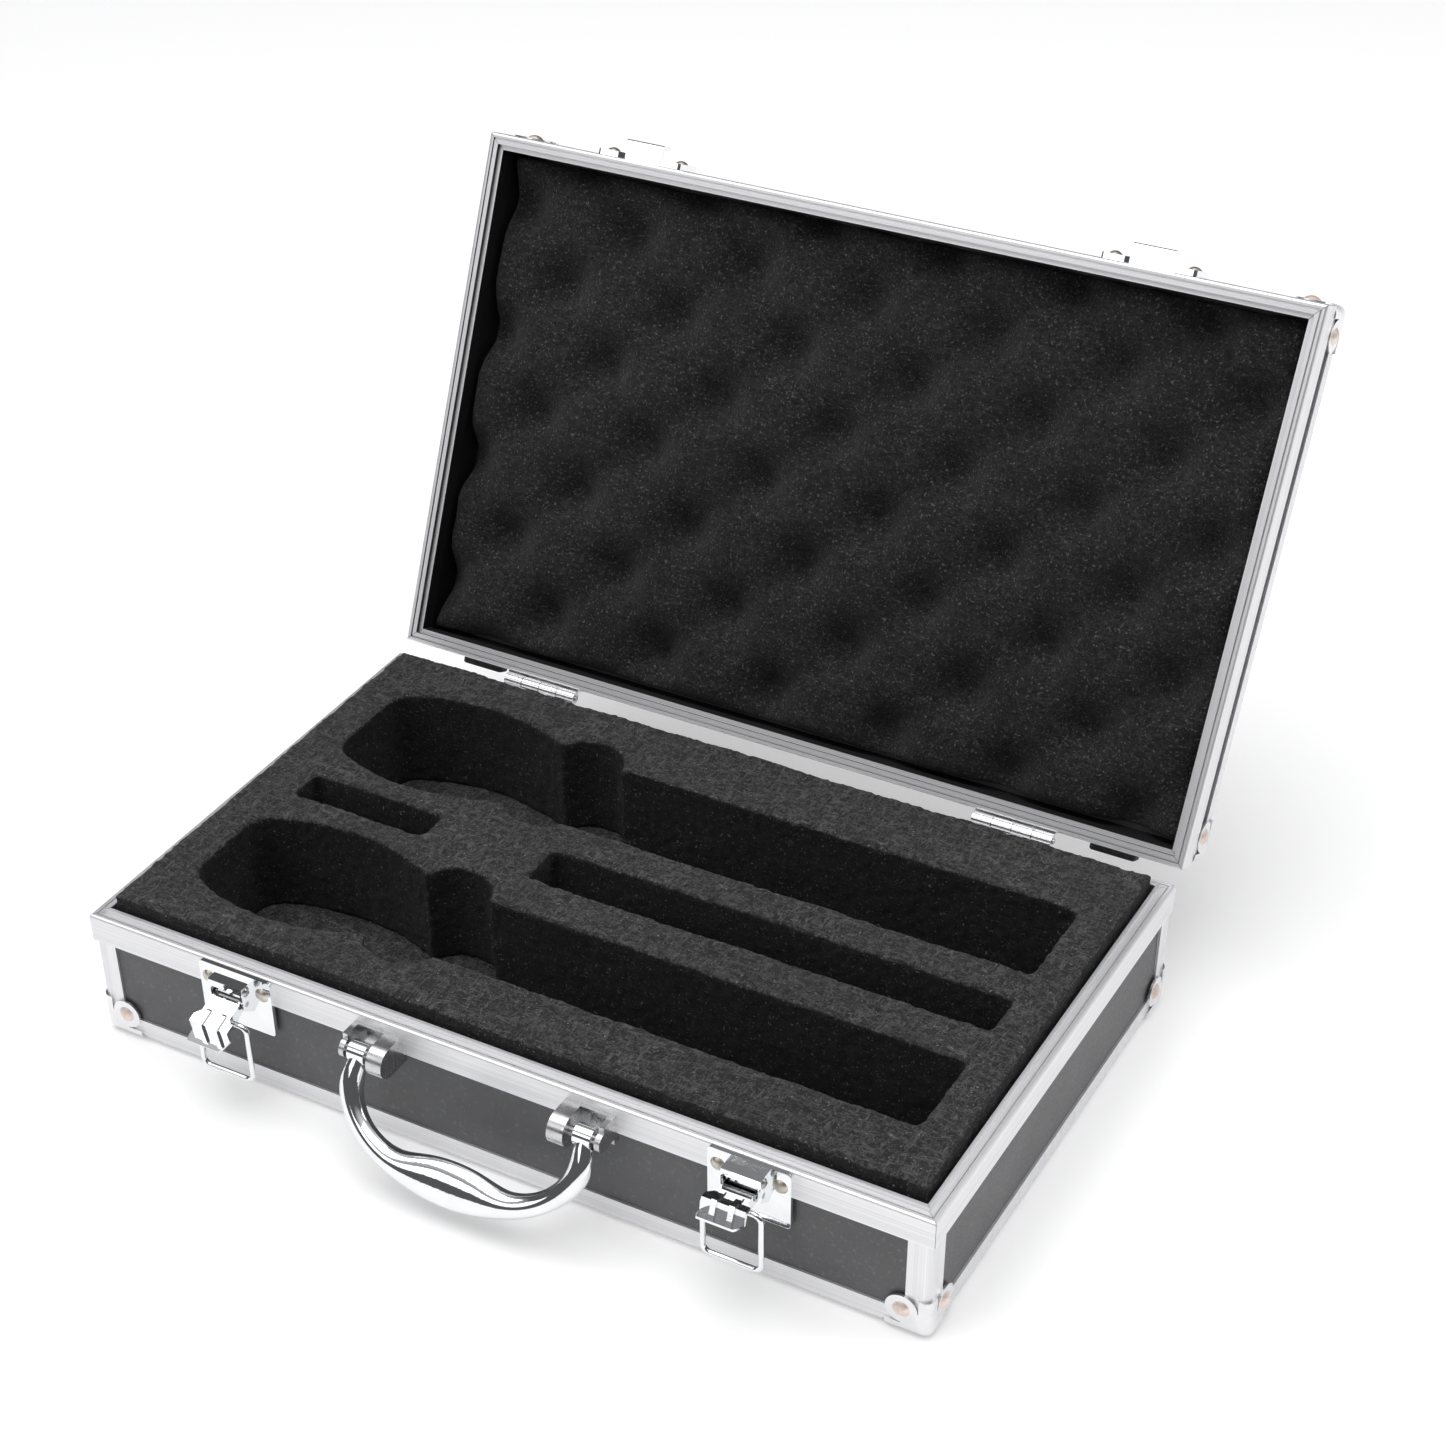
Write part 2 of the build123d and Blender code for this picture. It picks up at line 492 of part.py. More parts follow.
# ---------------------------------------------------------------- handle
def handle_bracket(sign):
    """Die-cast clevis: a heavy arm inside, a thin ear outside and a notch for the handle's eye."""
    height_low, height_top = HANDLE_Z - BRACKET_NOSE_R, HANDLE_Z + BRACKET_NOSE_R
    notch_back = 1.4
    arm = block(29.4, 35.0, out(HANDLE_OUT), out(0), height_low, height_top)
    arm += rod((29.4, out(HANDLE_OUT), HANDLE_Z), (35.0, out(HANDLE_OUT), HANDLE_Z), BRACKET_NOSE_R)
    arm += block(29.4, 46.4, out(notch_back), out(0), height_low, height_top)
    arm += block(44.6, 46.4, out(HANDLE_OUT), out(0), HANDLE_Z - EAR_NOSE_R, height_top)
    arm += rod((44.6, out(HANDLE_OUT), HANDLE_Z), (46.4, out(HANDLE_OUT), HANDLE_Z), EAR_NOSE_R)
    arm -= block(44.6, 46.4, out(HANDLE_OUT + 4), out(HANDLE_OUT), HANDLE_Z + EAR_NOSE_R, height_top + 1)
    arm -= rod((28, out(HANDLE_OUT), HANDLE_Z), (47, out(HANDLE_OUT), HANDLE_Z), HANDLE_PIN_R)
    rim_relief = BASE_H - RIM_H
    arm += block(29.4, 46.4, out(0), out(-RIM_SKIN), height_low, rim_relief)
    return arm if sign > 0 else mirror(arm, about=Plane.YZ)


def handle_section(x, drop, along, half_in_plane):
    """Oval across the handle's centre line, in the handle's own upright plane."""
    cut = Plane(origin=(x, out(HANDLE_OUT), HANDLE_Z - drop), z_dir=along, x_dir=(0, 1, 0))
    return cut * Ellipse(min(HANDLE_HALF_T, 0.97 * half_in_plane), half_in_plane)


def handle():
    """Cast handle: a straight-backed grip that swells inward in the middle, on two legs that end in eyes."""
    stations = [(-x, drop, half) for x, drop, half in HANDLE_STATIONS[:0:-1]] + HANDLE_STATIONS
    last = len(stations) - 1
    sections = []
    for i, (x, drop, half) in enumerate(stations):
        before, after = stations[max(i - 1, 0)], stations[min(i + 1, last)]
        sections.append(handle_section(x, drop, (after[0] - before[0], 0, before[1] - after[1]), half))
    bar = loft(sections)
    for x0, x1 in ((-43.2, -37.2), (37.2, 43.2)):
        bar += rod((x0, out(HANDLE_OUT), HANDLE_Z), (x1, out(HANDLE_OUT), HANDLE_Z), HANDLE_EYE_R)
    bar -= rod((-50, out(HANDLE_OUT), HANDLE_Z), (50, out(HANDLE_OUT), HANDLE_Z), HANDLE_BORE_R)
    return bar.rotate(Axis((0, out(HANDLE_OUT), HANDLE_Z), (-1, 0, 0)), HANDLE_TILT)


parts["handle"] = handle()
handle_pins = []
for side, sign in (("left", -1), ("right", 1)):
    parts[f"handle_bracket_{side}"] = handle_bracket(sign)
    handle_pins.append(rod((sign * 29.4, out(HANDLE_OUT), HANDLE_Z), (sign * 46.4, out(HANDLE_OUT), HANDLE_Z),
                           HANDLE_PIN_R))
parts["handle_pins"] = group(handle_pins)

for name, solid in lid_shut.items():
    parts[name] = open_lid(solid)

os.makedirs("parts", exist_ok=True)
for name, solid in parts.items():
    placed = [Pos(0, -ORIGIN_Y, 0) * s for s in solid.solids()]
    export_step(placed[0] if len(placed) == 1 else group(placed), f"parts/{name}.step")
print(len(parts), "nodes")
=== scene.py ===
import json
import math

import bmesh
import bpy
from mathutils import Matrix, Vector, noise


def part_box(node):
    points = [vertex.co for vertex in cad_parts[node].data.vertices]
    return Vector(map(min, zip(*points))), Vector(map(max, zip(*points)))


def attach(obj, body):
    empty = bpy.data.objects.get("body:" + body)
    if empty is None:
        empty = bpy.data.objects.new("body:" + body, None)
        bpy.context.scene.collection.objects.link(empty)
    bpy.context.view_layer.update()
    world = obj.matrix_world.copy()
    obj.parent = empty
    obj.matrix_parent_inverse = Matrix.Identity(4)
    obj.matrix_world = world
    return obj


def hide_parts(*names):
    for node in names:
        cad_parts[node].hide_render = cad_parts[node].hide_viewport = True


# Aluminium-framed microphone case, standing open. Metres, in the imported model's frame.

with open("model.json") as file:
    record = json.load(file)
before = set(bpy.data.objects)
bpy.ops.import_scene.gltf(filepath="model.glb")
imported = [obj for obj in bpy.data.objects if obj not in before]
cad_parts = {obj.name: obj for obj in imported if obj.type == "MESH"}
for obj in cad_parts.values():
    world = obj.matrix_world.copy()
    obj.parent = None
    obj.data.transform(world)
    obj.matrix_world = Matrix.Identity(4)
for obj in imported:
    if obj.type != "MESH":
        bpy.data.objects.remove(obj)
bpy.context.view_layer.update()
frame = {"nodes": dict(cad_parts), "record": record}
nodes = frame["nodes"]
MM = 0.001

joints = {joint["name"]: joint for joint in frame["record"]["behaviour"]["joints"]}
LID_PIVOT = Vector(joints["lid_hinge"]["pos_m"])
LID_ANGLE = math.radians(-joints["lid_hinge"]["range_deg"][0])

base_low, base_high = (Vector(corner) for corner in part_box("base_foam_insert"))
BASE_MID = Vector(((base_low.x + base_high.x) / 2, (base_low.y + base_high.y) / 2, 0))

# The lid's shape is set out in the shut lid, where x runs to the right, v from the hinge
# side towards the front, and depth from the rim's plane into the lid.
HINGE_GAP = 3.0 * MM
LID_MID_V, LID_MID_DEPTH = 87 * MM, 12.5 * MM


def lid_point(x, v, depth):
    """A point of the open lid."""
    shut = Vector((0, -(v + HINGE_GAP), depth))
    turned = Matrix.Rotation(LID_ANGLE, 4, (-1, 0, 0)) @ shut
    return Vector((x, LID_PIVOT.y + turned.y, LID_PIVOT.z + turned.z))


LID_FACE = (lid_point(0, 0, 0) - lid_point(0, 0, 1)).normalized()
LID_MID = lid_point(0, LID_MID_V, LID_MID_DEPTH)

# ---------------------------------------------------------------- camera
AZIMUTH, ELEVATION, ROLL, DISTANCE = 31.04, 39.25, -1.63, 0.9231
LENS, SENSOR = 69.2, 36.0
SHIFT_X, SHIFT_Y = 0.0601, 0.2010
NEAR, FAR = 0.05, 50.0

az, el, roll = (math.radians(a) for a in (AZIMUTH, ELEVATION, ROLL))
back = Vector((math.sin(az) * math.cos(el), -math.cos(az) * math.cos(el), math.sin(el)))
right = (-back).cross(Vector((0, 0, 1))).normalized()
up = right.cross(-back)
tilted_right = math.cos(roll) * right + math.sin(roll) * up
tilted_up = -math.sin(roll) * right + math.cos(roll) * up
camera_data = bpy.data.cameras.new("camera")
camera_data.lens, camera_data.sensor_width = LENS, SENSOR
camera_data.shift_x, camera_data.shift_y = SHIFT_X, SHIFT_Y
camera_data.clip_start, camera_data.clip_end = NEAR, FAR
camera = bpy.data.objects.new("camera", camera_data)
turn = Matrix((tilted_right, tilted_up, back)).transposed().to_4x4()
camera.matrix_world = Matrix.Translation(BASE_MID + back * DISTANCE) @ turn
bpy.context.collection.objects.link(camera)
bpy.context.scene.camera = camera

# ---------------------------------------------------------------- node helpers
MIX_A, MIX_B, MIX_RESULT = 6, 7, 2      # the colour sockets of a Mix node


class Net:
    """A material's node tree, with short calls for the nodes used here."""

    def __init__(self, name):
        self.material = bpy.data.materials.new(name)
        self.material.use_nodes = True
        self.tree = self.material.node_tree
        self.shader = self.tree.nodes["Principled BSDF"]

    def add(self, kind, inputs=None, **settings):
        node = self.tree.nodes.new(kind)
        for key, value in settings.items():
            setattr(node, key, value)
        for key, value in (inputs or {}).items():
            node.inputs[key].default_value = value
        return node

    def link(self, a, b):
        self.tree.links.new(a, b)

    def drive(self, **sockets):
        """Link sockets to the shader's inputs."""
        for key, socket in sockets.items():
            self.link(socket, self.shader.inputs[key.replace("_", " ")])

    def set(self, **values):
        """Set the shader's own inputs."""
        for key, value in values.items():
            self.shader.inputs[key.replace("_", " ")].default_value = value

    def place(self, scale=(1, 1, 1), turn=0.0):
        """Object coordinates, turned about X and then scaled."""
        coordinates = self.add("ShaderNodeTexCoord").outputs["Object"]
        if turn:
            turned = self.add("ShaderNodeMapping", {"Rotation": (turn, 0, 0)})
            self.link(coordinates, turned.inputs["Vector"])
            coordinates = turned.outputs["Vector"]
        scaled = self.add("ShaderNodeMapping", {"Scale": scale})
        self.link(coordinates, scaled.inputs["Vector"])
        return scaled.outputs["Vector"]

    def noise(self, vector, scale=1.0, detail=3.0, roughness=0.5, distortion=0.0):
        node = self.add("ShaderNodeTexNoise", {
            "Scale": scale, "Detail": detail, "Roughness": roughness, "Distortion": distortion,
        })
        self.link(vector, node.inputs["Vector"])
        return node.outputs["Fac"]

    def spread(self, value, low, high, to_low=0.0, to_high=1.0):
        node = self.add("ShaderNodeMapRange", {
            "From Min": low, "From Max": high, "To Min": to_low, "To Max": to_high,
        })
        self.link(value, node.inputs["Value"])
        return node.outputs["Result"]

    def blend(self, factor, a, b):
        """Colours a and b, or sockets, mixed by a factor."""
        node = self.add("ShaderNodeMix", data_type="RGBA")
        self.link(factor, node.inputs["Factor"])
        for socket, value in ((node.inputs[MIX_A], a), (node.inputs[MIX_B], b)):
            if isinstance(value, tuple):
                socket.default_value = (*value, 1)
            else:
                self.link(value, socket)
        return node.outputs[MIX_RESULT]

    def larger(self, a, b):
        node = self.add("ShaderNodeMath", operation="MAXIMUM")
        self.link(a, node.inputs[0])
        self.link(b, node.inputs[1])
        return node.outputs[0]

    def facing(self, centre):
        """Whether a face looks away from a centre point, as its offset along its own normal."""
        coordinates = self.add("ShaderNodeTexCoord")
        offset = self.add("ShaderNodeVectorMath", {1: centre}, operation="SUBTRACT")
        self.link(coordinates.outputs["Object"], offset.inputs[0])
        dot = self.add("ShaderNodeVectorMath", operation="DOT_PRODUCT")
        self.link(offset.outputs["Vector"], dot.inputs[0])
        self.link(coordinates.outputs["Normal"], dot.inputs[1])
        return dot.outputs["Value"]

    def upward(self, axis):
        """How far a face's normal points along an axis."""
        dot = self.add("ShaderNodeVectorMath", {1: axis}, operation="DOT_PRODUCT")
        self.link(self.add("ShaderNodeTexCoord").outputs["Normal"], dot.inputs[0])
        return dot.outputs["Value"]

    def bump(self, height, distance, strength=1.0, onto=None):
        node = self.add("ShaderNodeBump", {"Distance": distance, "Strength": strength})
        self.link(height, node.inputs["Height"])
        if onto is not None:
            self.link(onto, node.inputs["Normal"])
        return node.outputs["Normal"]


# ---------------------------------------------------------------- materials
# Scales are in cycles per metre and depths in metres. A span is a range of noise that is
# spread over a blend. The last number of a partial span is the most that the blend reaches.
LINE_DARK, LINE_PALE = (0.72, 0.72, 0.73), (0.88, 0.88, 0.89)
STREAK_TONE, CLOUD_TONE = (0.68, 0.68, 0.70), (0.76, 0.76, 0.78)
# The near-black tone on the next line is painted shade for the gap between rim and foam.
GAP_SHADE_TONE = (0.010, 0.009, 0.009)
STREAK_STRETCH = 0.12
CLOUD_SCALE = (60, 60, 60)
LINE_SPAN = (0.32, 0.68)
STREAK_SPAN = (0.45, 0.7, 0.0, 0.55)
CLOUD_SPAN = (0.4, 0.75, 0.0, 0.3)
LINE_ROUGHNESS = (0.25, 0.75, 0.52, 0.42)
LINE_DEPTH, LINE_BUMP = 0.00003, 0.35
GAP_SHADE_SPAN = (-70 * MM, -60 * MM)


def aluminium(name, scale, turn=0.0, shade_centre=None):
    """Satin anodised extrusion with fine drawing lines along its length.

    Faces that look inward across the lid, past its centre, are painted near-black and not metallic:
    painted shade for the gap between rim and foam.
    """
    net = Net(name)
    lines = net.noise(net.place(scale, turn), detail=4.0, roughness=0.6)
    broad = net.noise(net.place(tuple(s * STREAK_STRETCH for s in scale), turn), detail=2.0)
    cloud = net.noise(net.place(CLOUD_SCALE), detail=3.0)
    shade = net.blend(net.spread(lines, *LINE_SPAN), LINE_DARK, LINE_PALE)
    shade = net.blend(net.spread(broad, *STREAK_SPAN), shade, STREAK_TONE)
    shade = net.blend(net.spread(cloud, *CLOUD_SPAN), shade, CLOUD_TONE)
    if shade_centre is None:
        net.set(Metallic=1.0)
    else:
        # Painted shade: faces that look inward past the centre turn near-black and not metallic,
        # standing in for the shaded gap between rim and foam.
        unshaded = net.spread(net.facing(shade_centre), *GAP_SHADE_SPAN)
        shade = net.blend(unshaded, GAP_SHADE_TONE, shade)
        net.drive(Metallic=unshaded)
    net.drive(
        Base_Color=shade,
        Roughness=net.spread(lines, *LINE_ROUGHNESS),
        Normal=net.bump(lines, LINE_DEPTH, LINE_BUMP),
    )
    return net.material


HAZE_SCALE, PIT_SCALE, WAVE_SCALE = 180.0, 900.0, 90.0
HAZE_SPAN, HAZE_ROUGH_SPAN = (0.35, 0.75), (0.3, 0.75)
SMOOTHEST, ROUGHEST = 0.7, 1.6
WAVE_DEPTH = 0.00012
POCK_DEPTH, POCK_BUMP = 0.00002, 0.3


def plated(name, color, rough, wear, ripple=0.25):
    """Bright plating with faint polishing haze and small pits."""
    net = Net(name)
    where = net.place()
    haze = net.noise(where, scale=HAZE_SCALE, detail=4.0, roughness=0.6)
    pits = net.noise(where, scale=PIT_SCALE, detail=2.0)
    waves = net.noise(where, scale=WAVE_SCALE, detail=1.0)
    darker = tuple(c * (1 - wear) for c in color)
    net.drive(
        Base_Color=net.blend(net.spread(haze, *HAZE_SPAN), color, darker),
        Roughness=net.spread(haze, *HAZE_ROUGH_SPAN, rough * SMOOTHEST, rough * ROUGHEST),
        Normal=net.bump(pits, POCK_DEPTH, POCK_BUMP, net.bump(waves, WAVE_DEPTH, ripple)),
    )
    net.set(Metallic=1.0)
    return net.material


BOARD_DARK, BOARD_PALE = (0.052, 0.052, 0.055), (0.072, 0.072, 0.075)
# The near-black inside tone on the next line is painted shade for the gap between board and foam.
FLECK_TONE, BOARD_GAP_SHADE = (0.16, 0.16, 0.165), (0.006, 0.006, 0.007)
GRAIN_SCALE, PATCH_SCALE, FLECK_SCALE = 1500.0, 60.0, 700.0
PATCH_SPAN = (0.3, 0.7)
FLECK_SPAN = (0.62, 0.75, 0.0, 0.35)
GRAIN_ROUGHNESS = (0.3, 0.7, 0.40, 0.58)
GRAIN_DEPTH, GRAIN_BUMP = 0.00006, 0.5
OUTSIDE_SPAN = (0.0, 0.002)


def laminate(name, centre):
    """Board laminate, dark and pebbled with a dull sheen outside; faces inside the case are painted
    near-black, painted shade for the gap between board and foam.
    """
    net = Net(name)
    where = net.place()
    grain = net.noise(where, scale=GRAIN_SCALE, detail=3.0, roughness=0.6)
    patch = net.noise(where, scale=PATCH_SCALE, detail=3.0)
    flecks = net.noise(where, scale=FLECK_SCALE, detail=1.0)
    tone = net.blend(net.spread(patch, *PATCH_SPAN), BOARD_DARK, BOARD_PALE)
    tone = net.blend(net.spread(flecks, *FLECK_SPAN), tone, FLECK_TONE)
    # Painted shade: faces inside the case take the near-black tone, standing in for the shaded gap
    # between board and foam.
    outside = net.spread(net.facing(centre), *OUTSIDE_SPAN)
    net.drive(
        Base_Color=net.blend(outside, BOARD_GAP_SHADE, tone),
        Roughness=net.spread(grain, *GRAIN_ROUGHNESS),
        Normal=net.bump(grain, GRAIN_DEPTH, GRAIN_BUMP),
    )
    net.set(Specular_IOR_Level=0.75)
    return net.material


FIBRE_ALONG_X, FIBRE_ALONG_Y = (210, 640, 640), (640, 210, 640)
CELL_SCALE, GLINT_SCALE, MATTING_SCALE = 1300.0, 1150.0, 45.0
FIBRE_SPAN, FACING_UP_SPAN = (0.49, 0.66), (0.30, 0.75)
MATTING_SPAN = (0.35, 0.75, 0.0, 0.35)
GLINT_WIDTH, GLINT_MOST = 0.1, 0.75
FIBRE_DEPTH, FIBRE_BUMP = 0.0007, 0.8
CELL_DEPTH, CELL_BUMP = 0.0004, 0.7


def foam(name, axis, skin, side_cut_and_shade, glint_tone, glint_start):
    """Charcoal foam: a fibrous skin along an axis; faces turned from it are darker, partly cut
    cells and partly painted shade.
    """
    net = Net(name)
    where = net.place()
    strands, crossed = (
        net.noise(net.place(scale), detail=4.0, roughness=0.72, distortion=1.5)
        for scale in (FIBRE_ALONG_X, FIBRE_ALONG_Y)
    )
    matted = net.larger(strands, crossed)
    cells = net.noise(where, scale=CELL_SCALE, detail=3.0, roughness=0.7)
    glints = net.noise(where, scale=GLINT_SCALE, detail=2.0, roughness=0.6)
    patch = net.noise(where, scale=MATTING_SCALE, detail=4.0)
    fibre = net.spread(matted, *FIBRE_SPAN)
    top = net.blend(fibre, *skin)
    wall_cut_and_shade = net.blend(fibre, *side_cut_and_shade)
    # Faces turned away from the axis take the darker side tone: partly the cut cells' own tone,
    # partly painted shade.
    tone = net.blend(net.spread(net.upward(axis), *FACING_UP_SPAN), wall_cut_and_shade, top)
    tone = net.blend(net.spread(patch, *MATTING_SPAN), tone, skin[0])
    # Painted glints: pale flecks where the glint noise runs high, standing in for highlights on the
    # fibres.
    shine = net.spread(glints, glint_start, glint_start + GLINT_WIDTH, 0.0, GLINT_MOST)
    rough = net.bump(matted, FIBRE_DEPTH, FIBRE_BUMP)
    net.drive(
        Base_Color=net.blend(shine, tone, glint_tone),
        Normal=net.bump(cells, CELL_DEPTH, CELL_BUMP, rough),
    )
    net.set(Roughness=0.95, Specular_IOR_Level=0.2, Sheen_Weight=0.06, Sheen_Roughness=0.6)
    return net.material


RUBBER_TONE, DUST_TONE = (0.012, 0.012, 0.013), (0.035, 0.035, 0.035)
DUST_SCALE, RUBBER_GRAIN_SCALE = 500.0, 1400.0
DUST_SPAN = (0.4, 0.8)
RUBBER_DEPTH, RUBBER_BUMP = 0.00008, 0.5


def rubber(name):
    """Dull black rubber with some dust on it."""
    net = Net(name)
    where = net.place()
    dust = net.noise(where, scale=DUST_SCALE, detail=4.0)
    grain = net.noise(where, scale=RUBBER_GRAIN_SCALE)
    net.drive(
        Base_Color=net.blend(net.spread(dust, *DUST_SPAN), RUBBER_TONE, DUST_TONE),
        Normal=net.bump(grain, RUBBER_DEPTH, RUBBER_BUMP),
    )
    net.set(Roughness=0.62)
    return net.material


ALONG, ACROSS = 6.0, 2600.0
LINES_X = (ALONG, ACROSS, ACROSS)
LINES_Y = (ACROSS, ALONG, ACROSS)
LINES_Z = (ACROSS, ACROSS, ALONG)
metal_x = aluminium("aluminium_across", LINES_X)
metal_y = aluminium("aluminium_deep", LINES_Y)
metal_z = aluminium("aluminium_upright", LINES_Z)
lid_metal_x = aluminium("aluminium_lid_across", LINES_X, shade_centre=LID_MID)
lid_metal_y = aluminium("aluminium_lid_side", LINES_Y, LID_ANGLE, LID_MID)
lid_metal_z = aluminium("aluminium_lid_upright", LINES_Z, LID_ANGLE)
nickel = plated("nickel", color=(0.80, 0.80, 0.81), rough=0.20, wear=0.08)
chrome = plated("chrome", color=(0.84, 0.85, 0.86), rough=0.05, wear=0.06, ripple=0.10)
casting = plated("casting", color=(0.60, 0.60, 0.61), rough=0.24, wear=0.18)
rivet_metal = plated("rivet", color=(0.84, 0.72, 0.65), rough=0.46, wear=0.12)
dull_rivet = plated("rivet_dull", color=(0.66, 0.61, 0.53), rough=0.34, wear=0.30)
steel = plated("steel", color=(0.50, 0.50, 0.51), rough=0.28, wear=0.15)
base_panel = laminate("panel_base", (0, BASE_MID.y, base_high.z / 2))
lid_panel = laminate("panel_lid", LID_MID)
black_rubber = rubber("rubber")

# Each foam tone is a pair: between the fibres, and on them.
SKIN = ((0.014, 0.014, 0.014), (0.092, 0.090, 0.088))
# The side tone on the next line is darker than the upper one, partly for the cut cells and partly
# as painted shade.
SIDE_CUT_AND_SHADE = ((0.003, 0.003, 0.003), (0.022, 0.022, 0.022))
LID_SKIN = ((0.006, 0.006, 0.006), (0.036, 0.035, 0.035))
base_foam_stuff = foam(
    "foam_base", (0, 0, 1), skin=SKIN, side_cut_and_shade=SIDE_CUT_AND_SHADE, glint_tone=(0.24, 0.24, 0.24), glint_start=0.64,
)
lid_foam_stuff = foam(
    "foam_lid", LID_FACE, skin=LID_SKIN, side_cut_and_shade=LID_SKIN, glint_tone=(0.13, 0.13, 0.13), glint_start=0.60,
)

# A node takes the material of the first word that its name holds.
RULES = (
    ("foam", base_foam_stuff),
    ("feet", black_rubber),
    ("corner_rivets", rivet_metal),
    ("rivets", dull_rivet),
    ("pins", steel),
    ("bracket", casting),
    ("handle", chrome),
    ("hinge_leaf", nickel),
    ("latch", chrome),
    ("catch", chrome),
    ("lid_rim_left", lid_metal_y),
    ("lid_rim_right", lid_metal_y),
    ("rim_left", metal_y),
    ("rim_right", metal_y),
    ("lid_rim", lid_metal_x),
    ("rim", metal_x),
    ("lid_corner_angles", lid_metal_z),
    ("corner_angles", metal_z),
    ("edge_angles", metal_x),
    ("corner", nickel),
    ("base", base_panel),
    ("lid", lid_panel),
)
for name, piece in nodes.items():
    material = next(stuff for word, stuff in RULES if word in name)
    piece.data.materials.clear()
    piece.data.materials.append(material)


# ---------------------------------------------------------------- foam
def new_piece(name, mesh, body, material):
    piece = bpy.data.objects.new(name, mesh)
    bpy.context.collection.objects.link(piece)
    mesh.materials.clear()
    mesh.materials.append(material)
    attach(piece, body)
    return piece


SOFTENING, SOFTENING_ROUNDS = 0.5, 2


def remeshed(source, voxel):
    """An even, slightly softened copy of a CAD node's mesh."""
    piece = bpy.data.objects.new("work", source.data.copy())
    bpy.context.collection.objects.link(piece)
    even = piece.modifiers.new("even", "REMESH")
    even.mode, even.voxel_size = "VOXEL", voxel
    soft = piece.modifiers.new("soft", "SMOOTH")
    soft.factor, soft.iterations = SOFTENING, SOFTENING_ROUNDS
    bpy.context.view_layer.update()
    ready = piece.evaluated_get(bpy.context.evaluated_depsgraph_get())
    mesh = bpy.data.meshes.new_from_object(ready)
    bpy.data.objects.remove(piece)
    return mesh


def roughen(mesh, layers):
    """Move each vertex along its normal by layers of (amplitude, wavelength) noise."""
    normals = [vertex.normal.copy() for vertex in mesh.vertices]
    for vertex, normal in zip(mesh.vertices, normals):
        move = sum(size * noise.noise(vertex.co / wave) for size, wave in layers)
        vertex.co += normal * move
    mesh.polygons.foreach_set("use_smooth", [True] * len(mesh.polygons))
    mesh.update()


INSERT_VOXEL, PAD_VOXEL = 0.95 * MM, 1.6 * MM
INSERT_LAYERS = ((0.4 * MM, 14 * MM), (0.35 * MM, 3.2 * MM), (0.35 * MM, 1.5 * MM))
PAD_LAYERS = ((0.5 * MM, 12 * MM), (0.4 * MM, 3.5 * MM))

insert_mesh = remeshed(nodes["base_foam_insert"], INSERT_VOXEL)
roughen(insert_mesh, INSERT_LAYERS)
insert = new_piece("foam_insert", insert_mesh, "base", base_foam_stuff)
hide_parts("base_foam_insert")

pad_mesh = remeshed(nodes["base_foam_pad"], PAD_VOXEL)
roughen(pad_mesh, PAD_LAYERS)
pad = new_piece("foam_floor", pad_mesh, "base", base_foam_stuff)
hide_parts("base_foam_pad")

# The lid's convoluted foam: rows of pits, with crests between them.
CRATE_HALF_W, CRATE_V0, CRATE_V1, CRATE_STEP = 144.0 * MM, 6.6 * MM, 173.4 * MM, 1.2 * MM
CREST_DEPTH, PIT_DEPTH, FOAM_BACK = 8.2 * MM, 18.0 * MM, 20.5 * MM
PITCH, SKEW = 45.3 * MM, math.radians(-2.9)
PIT_X, PIT_V = -50.2 * MM, 109.2 * MM
PIT_SHARPNESS = 2.4
LUMP, LUMP_WAVE = 1.0 * MM, 30 * MM
GRIT, GRIT_WAVE = 0.4 * MM, 3 * MM
FLAP_X, FLAP_V, FLAP_RISE = 139.0 * MM, 112.0 * MM, 1.0 * MM
FLAP_HALF_X, FLAP_HALF_V = 4 * MM, 19 * MM
EDGE_WIDTH, EDGE_DROP = 4 * MM, 1.6 * MM
WOBBLE, WOBBLE_WAVE, WOBBLE_Z = 0.5 * MM, 9 * MM, 5


def crate_depth(x, v):
    """How far the foam's face lies inside the rim's plane."""
    dx, dv = x - PIT_X, v - PIT_V
    along = dx * math.cos(SKEW) + dv * math.sin(SKEW)
    across = -dx * math.sin(SKEW) + dv * math.cos(SKEW)
    wave = math.cos(math.tau * along / PITCH) * math.cos(math.tau * across / PITCH)
    pit = (0.5 + 0.5 * wave) ** PIT_SHARPNESS
    here = Vector((x, v, 0))
    lumps = LUMP * noise.noise(here / LUMP_WAVE) + GRIT * noise.noise(here / GRIT_WAVE)
    aside, along_edge = (x - FLAP_X) / FLAP_HALF_X, (v - FLAP_V) / FLAP_HALF_V
    curl = FLAP_RISE * math.exp(-aside ** 2 - along_edge ** 2)
    return CREST_DEPTH + (PIT_DEPTH - CREST_DEPTH) * pit + lumps - curl


